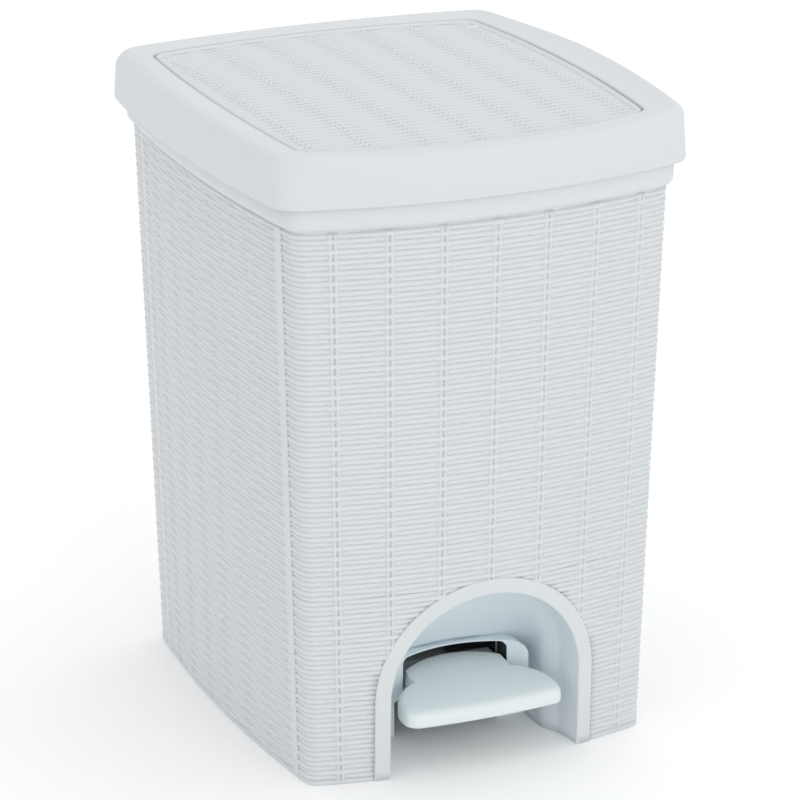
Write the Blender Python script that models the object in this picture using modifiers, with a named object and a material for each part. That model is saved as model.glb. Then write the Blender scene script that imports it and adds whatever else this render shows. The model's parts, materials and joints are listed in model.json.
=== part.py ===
"""Pedal waste bin: tapered outer body with a pedal niche, lift-off top frame with a hinged flap,
inner bucket with a bail handle, pedal lever on an axle, and a bent push rod that lifts the flap.

Metres, +Z up.  The origin is the middle of the footprint, the front faces -Y.
"""
import math

import bmesh
import bpy
from mathutils import Matrix, Vector

# --- outer body -----------------------------------------------------------------------------
WALL = 0.0024
GAP = 0.0003
FLOOR_HALF = (0.0848, 0.0996)
WEAVE_TOP_HALF = (0.0922, 0.1066)
BAND_HALF = (0.0948, 0.1092)
WEAVE_TOP_Z = 0.2504
BAND_Z = 0.2544
BODY_TOP_Z = 0.2742
BOW_FRONT = 0.300
BOW_BACK = 0.460
BOW_SIDE = 0.720
DECK_Z = 0.0584
DECK_THICKNESS = 0.0024

# --- pedal niche ----------------------------------------------------------------------------
NICHE_HALF_WIDTH = 0.0445
NICHE_APEX_Z = 0.0805
NICHE_MOUTH_Y = -0.0970
NICHE_REAR_Y = -0.0560
NICHE_REAR_HALF_WIDTH = 0.0384
NICHE_REAR_APEX_Z = 0.0425
NICHE_REAR_RISE = 0.0120
SLOT_HALF_WIDTH = 0.0250
SLOT_TOP_Z = 0.0405
SURROUND_HALF_WIDTH = 0.0330
SURROUND_Y = -0.0590
SURROUND_CURVE = 0.0514
SURROUND_HEIGHTS = (0.0225, 0.0362, 0.0411)

# --- top frame and flap ---------------------------------------------------------------------
CAP_TOP_HALF = (0.0998, 0.1119)
CAP_SKIRT_HALF = (0.1004, 0.1124)
CAP_TOP_CORNER = (0.0175, 0.0150)
CAP_SKIRT_CORNER = 0.0136
SKIRT_Z = 0.2606
CREST_Z = 0.2849
CREST_Y = -0.0100
CREST_DROP = 0.18
SHOULDER_RADIUS = (0.0042, 0.0080)
FLAP_TOP_Z = 0.2820
FLAP_TOP_Y = 0.0050
FLAP_DROP = 0.10
FLAP_HALF_WIDTH = 0.0828
FLAP_FRONT_Y = -0.0975
FLAP_BACK_Y = 0.0965
FLAP_CORNER = 0.0065
FLAP_BOWS = (0.215, 0.356, 0.800)
FLAP_SINK = 0.0004
FLAP_RIM = 0.0055
SEAM_GAP = 0.0009
FLANGE_DEPTH = 0.0090
FLANGE_THICKNESS = 0.0018
REST_TOP_Z = 0.2750
REST_TABS = ((0, -0.0990, 0.0070), (-0.0400, -0.0957, 0.0050), (0.0400, -0.0957, 0.0050))
HINGE_Y = 0.0785
HINGE_Z = 0.2776
HINGE_PIN_RADIUS = 0.0015
HINGE_PIN_X = (0.0730, 0.0813)
HINGE_BOSS_X = (0.0703, 0.0783)

# --- pedal mechanism ------------------------------------------------------------------------
PIVOT_Z = 0.0300
AXLE_RADIUS = 0.0025
BARREL_RADIUS = 0.0065
BARREL_HALF = 0.0240
LUG_INNER_X = 0.0260
LUG_THICKNESS = 0.0040
TREAD_HALF_WIDTH = 0.0371
TREAD_FRONT_Y = -0.1017
TREAD_REAR_Y = -0.0715
TREAD_LOW_Z = 0.0228
TREAD_TOP_Z = 0.0347
TREAD_FALL_Y = -0.0700
TREAD_FALL = 0.0056
NECK_HALF_WIDTH = 0.0237
NECK_CREST_Y = -0.0544
NECK_CREST_CURVE = 0.0365
LEVER_PAD_Z = 0.0240
ROD_Y = 0.0925
ROD_RADIUS = 0.00175
ROD_BEND_Z = 0.2368
ROD_HEAD_Y = 0.0630
CRANK_RADIUS = 0.01735
CRANK_ANGLE = math.radians(35)
LUG_TIP_RADIUS = 0.0025
ROD_HEAD_TOP_Z = HINGE_Z - CRANK_RADIUS * math.sin(CRANK_ANGLE) - LUG_TIP_RADIUS - 0.0005
GUIDE_HEIGHTS = {"lower": 0.1200, "upper": 0.2150}
GUIDE_HEIGHT = 0.0120
SCREW_X = 0.0117
SCREW_HOLE_RADIUS = 0.0017

# --- bucket ---------------------------------------------------------------------------------
BUCKET_FLOOR_Z = DECK_Z + GAP
BUCKET_TOP_Z = 0.2342
BUCKET_WALL = 0.0018
BUCKET_FLOOR = (0.0740, -0.0800, 0.0780, 0.0180)
BUCKET_RIM = (0.0802, -0.0898, 0.0858, 0.0200)
RIM_FLANGE = 0.0018
BAIL_Z = 0.2290
BAIL_RADIUS = 0.0015
BAIL_PLAN = (0.0845, -0.0965, 0.0865, 0.0160)
GRIP_HALF = 0.0330

FRONT_STEPS, CORNER_STEPS, SIDE_STEPS = 5, 4, 6


# --- small helpers --------------------------------------------------------------------------
def clear_scene():
    for item in list(bpy.data.objects):
        bpy.data.objects.remove(item, do_unlink=True)


def collection(name):
    group = bpy.data.collections.new(name)
    bpy.context.scene.collection.children.link(group)
    return group


def material(name, colour, roughness, metallic=0.0):
    made = bpy.data.materials.new(name)
    made.use_nodes = True
    shader = made.node_tree.nodes["Principled BSDF"]
    shader.inputs["Base Color"].default_value = (*colour, 1.0)
    shader.inputs["Roughness"].default_value = roughness
    shader.inputs["Metallic"].default_value = metallic
    return made


def place(name, mesh, look=None, origin=(0, 0, 0), smooth=None):
    """Add a finished piece; its origin goes to the given point while the shape stays in place."""
    mesh.transform(Matrix.Translation(-Vector(origin)))
    mesh.materials.clear()
    if look:
        mesh.materials.append(look)
    if smooth:
        mesh.shade_smooth()
        mesh.set_sharp_from_angle(angle=math.radians(smooth))
    item = bpy.data.objects.new(name, mesh)
    item.location = origin
    PARTS.objects.link(item)
    return item


def tool(name, mesh):
    """Add a shape that only cuts or joins another one."""
    item = bpy.data.objects.new(name, mesh)
    item.hide_render = True
    item.display_type = "WIRE"
    CUTTERS.objects.link(item)
    return item


def combine(item, other, operation):
    step = item.modifiers.new(operation.lower() + "_" + other.name, "BOOLEAN")
    step.operation = operation
    step.object = other
    step.solver = "EXACT"


def finish_mesh(shape, name):
    bmesh.ops.recalc_face_normals(shape, faces=shape.faces)
    mesh = bpy.data.meshes.new(name)
    shape.to_mesh(mesh)
    shape.free()
    return mesh


def box(name, low, high):
    shape = bmesh.new()
    bmesh.ops.create_cube(shape, size=1.0)
    size = Vector(high) - Vector(low)
    centre = (Vector(high) + Vector(low)) / 2
    bmesh.ops.scale(shape, vec=size, verts=shape.verts)
    bmesh.ops.translate(shape, vec=centre, verts=shape.verts)
    return finish_mesh(shape, name)


def cylinder(name, start, end, radius, sides=20):
    shape = bmesh.new()
    axis = Vector(end) - Vector(start)
    bmesh.ops.create_cone(shape, cap_ends=True, segments=sides, radius1=radius, radius2=radius,
                          depth=axis.length)
    turn = Vector((0, 0, 1)).rotation_difference(axis).to_matrix().to_4x4()
    shape.transform(Matrix.Translation((Vector(start) + Vector(end)) / 2) @ turn)
    return finish_mesh(shape, name)


def evaluated(item):
    """The mesh of an object after its modifiers or its curve settings, welded; the object goes."""
    graph = bpy.context.evaluated_depsgraph_get()
    mesh = bpy.data.meshes.new_from_object(item.evaluated_get(graph))
    mesh.transform(item.matrix_world)
    name = item.name
    bpy.data.objects.remove(item, do_unlink=True)
    shape = bmesh.new()
    shape.from_mesh(mesh)
    bmesh.ops.remove_doubles(shape, verts=shape.verts, dist=0.00001)
    return finish_mesh(shape, name)


def turned(name, profile, sides=24, centre=(0, 0), axis="Z"):
    """A turned solid: profile of (radius, height), with its outer side from top to bottom."""
    mesh = bpy.data.meshes.new(name)
    points = [(radius, 0, height) for radius, height in profile]
    mesh.from_pydata(points, [(i, i + 1) for i in range(len(points) - 1)], [])
    item = bpy.data.objects.new(name, mesh)
    PARTS.objects.link(item)
    screw = item.modifiers.new("turn", "SCREW")
    screw.steps = sides
    screw.render_steps = sides
    screw.use_merge_vertices = True
    screw.merge_threshold = 0.00001
    bpy.context.view_layer.update()
    mesh = evaluated(item)
    if axis == "Z":
        mesh.transform(Matrix.Translation((*centre, 0)))
    if axis == "Y":
        mesh.transform(Matrix.Rotation(math.radians(-90), 4, "X"))
    if axis == "X":
        mesh.transform(Matrix.Rotation(math.radians(90), 4, "Y"))
    return mesh


def wire(name, points, radius, resolution=2):
    """A round wire or tube along a smooth list of points, with closed ends."""
    data = bpy.data.curves.new(name, "CURVE")
    data.dimensions = "3D"
    data.bevel_depth = radius
    data.bevel_resolution = resolution
    data.use_fill_caps = True
    spline = data.splines.new("POLY")
    spline.points.add(len(points) - 1)
    for slot, point in zip(spline.points, points):
        slot.co = (*point, 1)
    item = bpy.data.objects.new(name, data)
    PARTS.objects.link(item)
    bpy.context.view_layer.update()
    return evaluated(item)


def side_plate(name, points, half_width):
    """A flat outline of (y, z) points, given a thickness along X."""
    data = bpy.data.curves.new(name, "CURVE")
    data.dimensions = "2D"
    data.fill_mode = "BOTH"
    data.extrude = half_width
    spline = data.splines.new("POLY")
    spline.use_cyclic_u = True
    spline.points.add(len(points) - 1)
    for slot, (y, z) in zip(spline.points, points):
        slot.co = (y, z, 0, 1)
    item = bpy.data.objects.new(name, data)
    PARTS.objects.link(item)
    bpy.context.view_layer.update()
    mesh = evaluated(item)
    mesh.transform(Matrix(((0, 0, 1, 0), (1, 0, 0, 0), (0, 1, 0, 0), (0, 0, 0, 1))))
    return mesh


def rounded_path(points, radius, steps=5):
    """A polyline whose inner corners are arcs of the given radius."""
    corners = [Vector(point) for point in points]
    path = [corners[0]]
    for before, corner, after in zip(corners, corners[1:], corners[2:]):
        to_before = (before - corner).normalized()
        to_after = (after - corner).normalized()
        half = to_before.angle(to_after) / 2
        middle = (to_before + to_after).normalized()
        centre = corner + middle * radius / math.sin(half)
        first = (corner + to_before * radius / math.tan(half) - centre).normalized()
        last = (corner + to_after * radius / math.tan(half) - centre).normalized()
        for step in range(steps + 1):
            path.append(centre + first.slerp(last, step / steps) * radius)
    path.append(corners[-1])
    return path


# --- plan outlines and lofts ----------------------------------------------------------------
def arc(centre, radius, start, end, steps):
    angles = [start + (end - start) * step / steps for step in range(steps + 1)]
    return [Vector((centre[0] + radius * math.cos(a), centre[1] + radius * math.sin(a))) for a in angles]


def meeting_point(first, first_radius, second, second_radius, side):
    """Where two circles meet, on the right: side is -1 for the front and 1 for the back."""
    between = second - first
    along = (first_radius ** 2 - second_radius ** 2 + between.length_squared) / (2 * between.length)
    across = math.sqrt(first_radius ** 2 - along ** 2)
    unit = between.normalized()
    foot = first + unit * along
    choices = [foot + Vector((-unit.y, unit.x)) * across, foot - Vector((-unit.y, unit.x)) * across]
    return max(choices, key=lambda point: point.y * side)


def outline(half_width, front, back, corner, bows=None, steps=None):
    """A rectangle with bowed sides and round corners, counter-clockwise from the front's middle."""
    bow_front, bow_back, bow_side = bows or (BOW_FRONT, BOW_BACK, BOW_SIDE)
    front_steps, corner_steps, side_steps = steps or (FRONT_STEPS, CORNER_STEPS, SIDE_STEPS)
    front_corner, back_corner = corner if isinstance(corner, tuple) else (corner, corner)
    front_centre = Vector((0, front + bow_front))
    back_centre = Vector((0, back - bow_back))
    side_centre = Vector((half_width - bow_side, (front + back) / 2))
    low = meeting_point(front_centre, bow_front - front_corner, side_centre, bow_side - front_corner, -1)
    high = meeting_point(back_centre, bow_back - back_corner, side_centre, bow_side - back_corner, 1)

    def heading(centre, point):
        return math.atan2(point.y - centre.y, point.x - centre.x)

    front_angle = heading(front_centre, low)
    low_angle = heading(side_centre, low)
    high_angle = heading(side_centre, high)
    back_angle = heading(back_centre, high)
    right = arc(front_centre, bow_front, -math.pi / 2, front_angle, front_steps)[:-1]
    right += arc(low, front_corner, front_angle, low_angle, corner_steps)
    right += arc(side_centre, bow_side, low_angle, high_angle, side_steps)[1:-1]
    right += arc(high, back_corner, high_angle, back_angle, corner_steps)
    right += arc(back_centre, bow_back, back_angle, math.pi / 2, front_steps)[1:]
    left = [Vector((-point.x, point.y)) for point in reversed(right[1:-1])]
    return right + left


def offset(points, distance):
    """The outline moved outwards by a distance, a number or a function of the point; inwards when negative."""
    count = len(points)
    moved = []
    for index, point in enumerate(points):
        along = points[(index + 1) % count] - points[index - 1]
        step = distance(point) if callable(distance) else distance
        moved.append(point + Vector((along.y, -along.x)).normalized() * step)
    return moved


def mix(first, second, share):
    return [a.lerp(b, share) for a, b in zip(first, second)]


def eased(value):
    """0 below 0, 1 above 1, with a smooth rise between."""
    share = min(max(value, 0.0), 1.0)
    return share * share * (3 - 2 * share)


def ring(points, height):
    """The outline at a height, which is a number or a function of the point."""
    return [Vector((*point, height(point) if callable(height) else height)) for point in points]


def loft(name, rings, closed=False):
    """Rings of equal length joined by faces; open ends are capped, or the last ring meets the first."""
    shape = bmesh.new()
    rows = [[shape.verts.new(point) for point in points] for points in rings]
    pairs = list(zip(rows, rows[1:]))
    if closed:
        pairs.append((rows[-1], rows[0]))
    for lower, upper in pairs:
        for index in range(len(lower)):
            following = (index + 1) % len(lower)
            shape.faces.new((lower[index], lower[following], upper[following], upper[index]))
    if not closed:
        shape.faces.new(rows[0])
        shape.faces.new(rows[-1])
    return finish_mesh(shape, name)


# --- outer body -----------------------------------------------------------------------------
def body_half(height, axis):
    """Half of the outer body's width, axis 0, or depth, axis 1, at a height up to the smooth band."""
    share = min(max(height / WEAVE_TOP_Z, 0.0), 1.0)
    return FLOOR_HALF[axis] + (WEAVE_TOP_HALF[axis] - FLOOR_HALF[axis]) * share


def body_outline(height):
    corner = 0.0060 + 0.0025 * min(max(height / WEAVE_TOP_Z, 0.0), 1.0)
    return outline(body_half(height, 0), -body_half(height, 1), body_half(height, 1), corner)


def band_outline():
    return outline(BAND_HALF[0], -BAND_HALF[1], BAND_HALF[1], 0.0105)


def body_shell():
    weave_top = body_outline(WEAVE_TOP_Z)
    rings = [ring(offset(body_outline(0), -0.0008), 0), ring(body_outline(0.0010), 0.0010)]
    rings += [ring(weave_top, WEAVE_TOP_Z - 0.0002), ring(offset(weave_top, 0.0016), WEAVE_TOP_Z + 0.0010)]
    rings += [ring(band_outline(), BAND_Z), ring(band_outline(), BODY_TOP_Z)]
    return loft("outer_body", rings)


def body_cavity(name, low, high, cutter_name):
    """The room inside the walls between two heights, leaving the niche's own wall standing."""
    inner = [ring(offset(body_outline(low), -WALL), low)]
    if high > BAND_Z:
        inner.append(ring(offset(body_outline(WEAVE_TOP_Z), -WALL), WEAVE_TOP_Z - 0.0030))
        inner.append(ring(offset(band_outline(), -WALL), BAND_Z))
        inner.append(ring(offset(band_outline(), -WALL), high))
    else:
        inner.append(ring(offset(body_outline(high), -WALL), high))
    cavity = tool(name, loft(name, inner))
    dome = tool(cutter_name, niche_shape(cutter_name, WALL))
    combine(cavity, dome, "DIFFERENCE")
    return cavity


def niche_section(depth, grow):
    """The niche's arch at a depth from 0, its mouth, to 1, its rear wall."""
    narrowing = 0.0021 * min(depth / 0.4, 1.0)
    narrowing += (NICHE_HALF_WIDTH - 0.0021 - NICHE_REAR_HALF_WIDTH) * eased((depth - 0.28) / 0.32)
    half_width = NICHE_HALF_WIDTH - narrowing + grow
    apex = NICHE_REAR_APEX_Z + (NICHE_APEX_Z - NICHE_REAR_APEX_Z) * math.cos(depth * math.pi / 2) + grow
    rise = NICHE_HALF_WIDTH + (NICHE_REAR_RISE - NICHE_HALF_WIDTH) * depth + grow
    y = NICHE_MOUTH_Y + (NICHE_REAR_Y + grow - NICHE_MOUTH_Y) * depth
    points = [Vector((half_width, y, -0.0100))]
    for step in range(13):
        angle = math.pi * step / 12
        points.append(Vector((half_width * math.cos(angle), y, apex - rise + rise * math.sin(angle))))
    points.append(Vector((-half_width, y, -0.0100)))
    return points


def niche_shape(name, grow):
    mouth = niche_section(0, grow)
    sections = [[point + Vector((0, -0.0300, 0)) for point in mouth], mouth]
    sections += [niche_section(step / 10, grow) for step in range(1, 11)]
    return loft(name, sections)


def slot_surround(name):
    """The raised frame round the pedal slot, bowed forwards at its ends and rounded at its upper corners."""
    low, shoulder, top = SURROUND_HEIGHTS
    stations = []
    for step in range(-8, 9):
        x = SURROUND_HALF_WIDTH * step / 8
        front = SURROUND_Y - SURROUND_CURVE + math.sqrt(SURROUND_CURVE ** 2 - x * x)
        rounding = max(abs(step) / 8 - 0.75, 0) / 0.25
        height = shoulder + (top - shoulder) * math.sqrt(1 - rounding ** 2)
        rear = NICHE_REAR_Y + 0.0008
        corners = ((front, low), (front, height), (rear, height), (rear, low))
        stations.append([Vector((x, y, z)) for y, z in corners])
    return loft(name, stations)


def build_outer_body(look):
    body = place("outer_body", body_shell(), look, smooth=35)
    combine(body, body_cavity("upper_room", DECK_Z, 0.3000, "niche_wall_above"), "DIFFERENCE")
    under = DECK_Z - DECK_THICKNESS
    combine(body, body_cavity("lower_room", -0.0100, under, "niche_wall_below"), "DIFFERENCE")
    combine(body, tool("niche_room", niche_shape("niche_room", 0)), "DIFFERENCE")
    combine(body, tool("slot_surround", slot_surround("slot_surround")), "UNION")
    slot = box("pedal_slot", (-SLOT_HALF_WIDTH, -0.0760, -0.0120), (SLOT_HALF_WIDTH, -0.0450, SLOT_TOP_Z))
    combine(body, tool("pedal_slot", slot), "DIFFERENCE")
    deck_hole = cylinder("deck_hole", (0, ROD_Y, 0.0500), (0, ROD_Y, 0.0650), 0.0026)
    combine(body, tool("deck_hole", deck_hole), "DIFFERENCE")
    for side in (-1, 1):
        near, far = sorted((side * LUG_INNER_X, side * (LUG_INNER_X + LUG_THICKNESS)))
        lug = box("axle_lug", (near, -0.0080, 0.0220), (far, 0.0080, under + 0.0010))
        combine(body, tool("axle_lug", lug), "UNION")
    axle_hole = cylinder("axle_hole", (-0.0320, 0, PIVOT_Z), (0.0320, 0, PIVOT_Z), AXLE_RADIUS + GAP)
    combine(body, tool("axle_hole", axle_hole), "DIFFERENCE")
    for name, height in GUIDE_HEIGHTS.items():
        rear = body_half(height, 1)
        near = (SCREW_X - 0.0040, ROD_Y + 0.0035, height)
        far = (SCREW_X + 0.0040, rear - 0.0014, height + GUIDE_HEIGHT)
        boss = box("boss_" + name, near, far)
        combine(body, tool("boss_" + name, boss), "UNION")
        middle = height + GUIDE_HEIGHT / 2
        start, end = (SCREW_X, ROD_Y + 0.0020, middle), (SCREW_X, rear - 0.0020, middle)
        hole = cylinder("pilot_" + name, start, end, SCREW_HOLE_RADIUS)
        combine(body, tool("pilot_" + name, hole), "DIFFERENCE")
    return body


# --- top frame and flap ---------------------------------------------------------------------
def flap_top(point):
    """The height of the flap's slight long curve."""
    return FLAP_TOP_Z - FLAP_DROP * (point.y - FLAP_TOP_Y) ** 2


def crest(point):
    """The height of the frame's rim: it stands over the flap at the sides and back, but not in front."""
    rise = CREST_Z - CREST_DROP * (point.y - CREST_Y) ** 2 - flap_top(point)
    in_front = eased((-0.0700 - point.y) / 0.0200) * (1 - eased((abs(point.x) - 0.0500) / 0.0360))
    return flap_top(point) + rise * (1 - 0.9 * in_front)


def shoulder_radius(point):
    front, back = SHOULDER_RADIUS
    return front + (back - front) * eased(point.y / 0.0850)


def flap_outline():
    return outline(FLAP_HALF_WIDTH, FLAP_FRONT_Y, FLAP_BACK_Y, FLAP_CORNER, FLAP_BOWS)


def frame_rings():
    seam = offset(flap_outline(), SEAM_GAP)
    flange = offset(seam, FLANGE_THICKNESS)
    rim = outline(CAP_TOP_HALF[0], -CAP_TOP_HALF[1], CAP_TOP_HALF[1], CAP_TOP_CORNER)
    skirt = outline(CAP_SKIRT_HALF[0], -CAP_SKIRT_HALF[1], CAP_SKIRT_HALF[1], CAP_SKIRT_CORNER)
    shoulder = offset(rim, lambda point: -shoulder_radius(point))

    def inner(drop):
        return lambda point: flap_top(point) - drop

    rings = [ring(seam, inner(FLANGE_DEPTH)), ring(seam, inner(0.0008)), ring(offset(seam, 0.0008), flap_top)]
    for share in (0.35, 0.7, 1.0):
        rise = share ** 1.3
        slope = mix(flange, shoulder, share)
        rings.append(ring(slope, lambda point: flap_top(point) * (1 - rise) + crest(point) * rise))
    for angle in (math.radians(30), math.radians(60), math.radians(90)):
        out = offset(rim, lambda point: -shoulder_radius(point) * (1 - math.sin(angle)))
        rings.append(ring(out, lambda point: crest(point) - shoulder_radius(point) * (1 - math.cos(angle))))
    rings += [ring(skirt, SKIRT_Z + 0.0012), ring(offset(skirt, -0.0012), SKIRT_Z)]
    rings.append(ring(offset(skirt, -WALL), SKIRT_Z))
    rings.append(ring(offset(rim, -WALL), lambda point: crest(point) - shoulder_radius(point)))
    rings.append(ring(shoulder, lambda point: crest(point) - WALL))
    rings += [ring(flange, inner(WALL)), ring(flange, inner(FLANGE_DEPTH))]
    return rings


def build_top_frame(look):
    frame = place("top_frame", loft("top_frame", frame_rings(), closed=True), look, smooth=35)
    for x, y, half in REST_TABS:
        tab = box("flap_rest", (x - half, y, REST_TOP_Z - 0.0024), (x + half, y + 0.0048, REST_TOP_Z))
        combine(frame, tool("flap_rest", tab), "UNION")
    hole = cylinder("pin_hole", (-0.0880, HINGE_Y, HINGE_Z), (0.0880, HINGE_Y, HINGE_Z), HINGE_PIN_RADIUS + GAP)
    combine(frame, tool("pin_hole", hole), "DIFFERENCE")
    return frame


def flap_rings():
    edge = flap_outline()
    middle = Vector((0, (FLAP_FRONT_Y + FLAP_BACK_Y) / 2))

    def top(drop):
        return lambda point: flap_top(point) - FLAP_SINK - drop

    def shrunk(scale):
        return [middle + (point - middle) * scale for point in offset(edge, -0.0026)]

    panel = 0.0007
    sheet = 0.0031
    rings = [ring(shrunk(scale), top(panel)) for scale in (0.12, 0.45, 0.75, 1.0)]
    rings += [ring(offset(edge, -0.0018), top(0.0001)), ring(offset(edge, -0.0009), top(0))]
    rings += [ring(offset(edge, -0.0002), top(0.0004)), ring(edge, top(0.0012)), ring(edge, top(FLAP_RIM))]
    rings += [ring(offset(edge, -FLANGE_THICKNESS), top(FLAP_RIM)), ring(offset(edge, -0.0019), top(sheet))]
    rings += [ring(shrunk(scale), top(sheet)) for scale in (0.75, 0.45, 0.12)]
    return rings


def build_lid_flap(look):
    flap = place("lid_flap", loft("lid_flap", flap_rings()), look, origin=(0, HINGE_Y, HINGE_Z), smooth=35)
    tip_y = HINGE_Y - CRANK_RADIUS * math.cos(CRANK_ANGLE)
    tip_z = HINGE_Z - CRANK_RADIUS * math.sin(CRANK_ANGLE)
    lug = box("lift_lug", (-0.0030, tip_y - 0.0023, tip_z), (0.0030, tip_y + 0.0023, HINGE_Z + 0.0022))
    combine(flap, tool("lift_lug", lug), "UNION")
    tip = cylinder("lift_tip", (-0.0032, tip_y, tip_z), (0.0032, tip_y, tip_z), LUG_TIP_RADIUS)
    combine(flap, tool("lift_tip", tip), "UNION")
    near, far = HINGE_BOSS_X
    for side in (-1, 1):
        boss = cylinder("pin_boss", (side * near, HINGE_Y, HINGE_Z), (side * far, HINGE_Y, HINGE_Z), 0.0030)
        combine(flap, tool("pin_boss", boss), "UNION")
        start, end = (side * (near + 0.0020), HINGE_Y, HINGE_Z), (side * (far + 0.0050), HINGE_Y, HINGE_Z)
        socket = cylinder("pin_socket", start, end, HINGE_PIN_RADIUS + GAP)
        combine(flap, tool("pin_socket", socket), "DIFFERENCE")
    return flap


def build_hinge_pins(look):
    near, far = HINGE_PIN_X
    for name, side in (("left", -1), ("right", 1)):
        profile = [(0, far), (0.0011, far), (HINGE_PIN_RADIUS, far - 0.0004)]
        profile += [(HINGE_PIN_RADIUS, near + 0.0004), (0.0011, near), (0, near)]
        mesh = turned("hinge_pin_" + name, profile, 16, axis="X")
        if side < 0:
            mesh.transform(Matrix.Rotation(math.pi, 4, "Z"))
        mesh.transform(Matrix.Translation((0, HINGE_Y, HINGE_Z)))
        place("hinge_pin_" + name, mesh, look, origin=(0, HINGE_Y, HINGE_Z), smooth=35)


# --- inner bucket and its handle ------------------------------------------------------------
def bucket_outline(height, grow=0.0):
    share = (height - BUCKET_FLOOR_Z) / (BUCKET_TOP_Z - BUCKET_FLOOR_Z)
    values = [low + (high - low) * share for low, high in zip(BUCKET_FLOOR, BUCKET_RIM)]
    return offset(outline(*values), grow)


def niche_ramp(name, lift):
    """A wedge that slopes the bucket's lower front back at 45 degrees, over the pedal niche."""
    rise = 0.0020 + lift
    points = [(-0.0400, 0.0400 + rise), (-0.1200, 0.1200 + rise), (-0.1200, 0.0300), (-0.0400, 0.0300)]
    return side_plate(name, points, 0.1000)


def build_inner_bucket(look):
    levels = [(BUCKET_FLOOR_Z, -0.0015), (BUCKET_FLOOR_Z + 0.0016, 0), (BUCKET_TOP_Z - 0.0034, 0)]
    levels += [(BUCKET_TOP_Z - 0.0026, RIM_FLANGE), (BUCKET_TOP_Z - 0.0004, RIM_FLANGE)]
    levels.append((BUCKET_TOP_Z, RIM_FLANGE - 0.0004))
    rings = [ring(bucket_outline(height, grow), height) for height, grow in levels]
    bucket = place("inner_bucket", loft("inner_bucket", rings), look, smooth=35)
    combine(bucket, tool("ramp_outside", niche_ramp("ramp_outside", 0)), "DIFFERENCE")
    inside = [ring(bucket_outline(height, -BUCKET_WALL), height) for height in (BUCKET_FLOOR_Z + 0.0020, 0.2500)]
    room = tool("bucket_room", loft("bucket_room", inside))
    combine(room, tool("ramp_inside", niche_ramp("ramp_inside", 0.0026)), "DIFFERENCE")
    combine(bucket, room, "DIFFERENCE")
    for side in (-1, 1):
        boss = cylinder("bail_boss", (side * 0.0788, 0, BAIL_Z), (side * 0.0826, 0, BAIL_Z), 0.0046)
        combine(bucket, tool("bail_boss", boss), "UNION")
    hole = cylinder("bail_hole", (-0.0900, 0, BAIL_Z), (0.0900, 0, BAIL_Z), BAIL_RADIUS + GAP)
    combine(bucket, tool("bail_hole", hole), "DIFFERENCE")
    return bucket


def bail_path():
    """The bail's bent wire: in through one boss, round the bucket's front, out through the other."""
    around = outline(*BAIL_PLAN, steps=(8, 6, 8))
    right = [point for point in around if point.x >= 0 and point.y < -0.0060]
    right.sort(key=lambda point: math.atan2(point.y, point.x), reverse=True)
    bend = rounded_path([(0.0782, 0, BAIL_Z), (BAIL_PLAN[0], 0, BAIL_Z), (*right[0], BAIL_Z)], 0.0025, 4)
    half = bend[:-1] + [Vector((*point, BAIL_Z)) for point in right]
    return half + [Vector((-point.x, point.y, point.z)) for point in reversed(half[:-1])]


def build_bucket_handle(look):
    return place("bucket_handle", wire("bucket_handle", bail_path(), BAIL_RADIUS), look, (0, 0, BAIL_Z), 40)


def grip_path(half_length):
    """The part of the bail's front bow that the grip holds."""
    centre = Vector((0, BAIL_PLAN[1] + BOW_FRONT))
    reach = math.asin(half_length / BOW_FRONT)
    points = arc(centre, BOW_FRONT, -math.pi / 2 - reach, -math.pi / 2 + reach, 10)
    return [Vector((*point, BAIL_Z)) for point in points]


def build_handle_grip(look):
    grip = place("handle_grip", wire("handle_grip", grip_path(GRIP_HALF), 0.0036, 3), look, (0, 0, BAIL_Z), 40)
    bore = tool("grip_bore", wire("grip_bore", grip_path(GRIP_HALF + 0.0030), 0.0019, 2))
    combine(grip, bore, "DIFFERENCE")
    return grip


# --- pedal mechanism ------------------------------------------------------------------------
def tread_top(point):
    """The height of the tread's top, which falls off towards the toe."""
    share = max(TREAD_FALL_Y - point.y, 0) / (TREAD_FALL_Y - TREAD_FRONT_Y)
    return TREAD_TOP_Z - TREAD_FALL * share ** 1.3


def tread_rings():
    """The tread's levels from its lower edge up, then in over its rounded top edge."""
    rings = []
    for inset, height in ((0.0009, TREAD_LOW_Z), (0, TREAD_LOW_Z + 0.0008)):
        rings.append(ring(tread_plan(inset), height))
    for inset, drop in ((0.0001, 0.0030), (0.0009, 0.0008), (0.0026, 0), (0.0090, 0)):
        rings.append(ring(tread_plan(inset), lambda point: tread_top(point) - drop))
    return rings


def tread_plan(inset):
    half_width, front = TREAD_HALF_WIDTH - inset, TREAD_FRONT_Y + inset * 1.3
    rear = TREAD_REAR_Y - inset * 0.2
    rear_corner = min(0.0190, rear - front - 0.0080)
    return outline(half_width, front, rear, (0.0060, rear_corner), (0.290, 0.400, 0.600), (4, 5, 3))


def neck_pad(name):
    """The neck's raised top, ending in a bowed crest just inside the slot."""
    rings = []
    for low, inset in ((0.0055, 0), (0.0009, 0), (0, 0.0010)):
        back = NECK_CREST_Y - inset
        half_width = NECK_HALF_WIDTH - 0.0004 - inset * 0.6
        plan = outline(half_width, -0.0880, back, 0.0015, (0.300, NECK_CREST_CURVE, 0.600), (5, 2, 2))
        rings.append(ring(plan, lambda point: pad_top(point) - low))
    return loft(name, rings)


def pad_top(point):
    """The neck's top rises out of the tread without a step."""
    return tread_top(point) - 0.0002 + 0.0006 * eased((point.y + 0.0860) / 0.0200)


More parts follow.
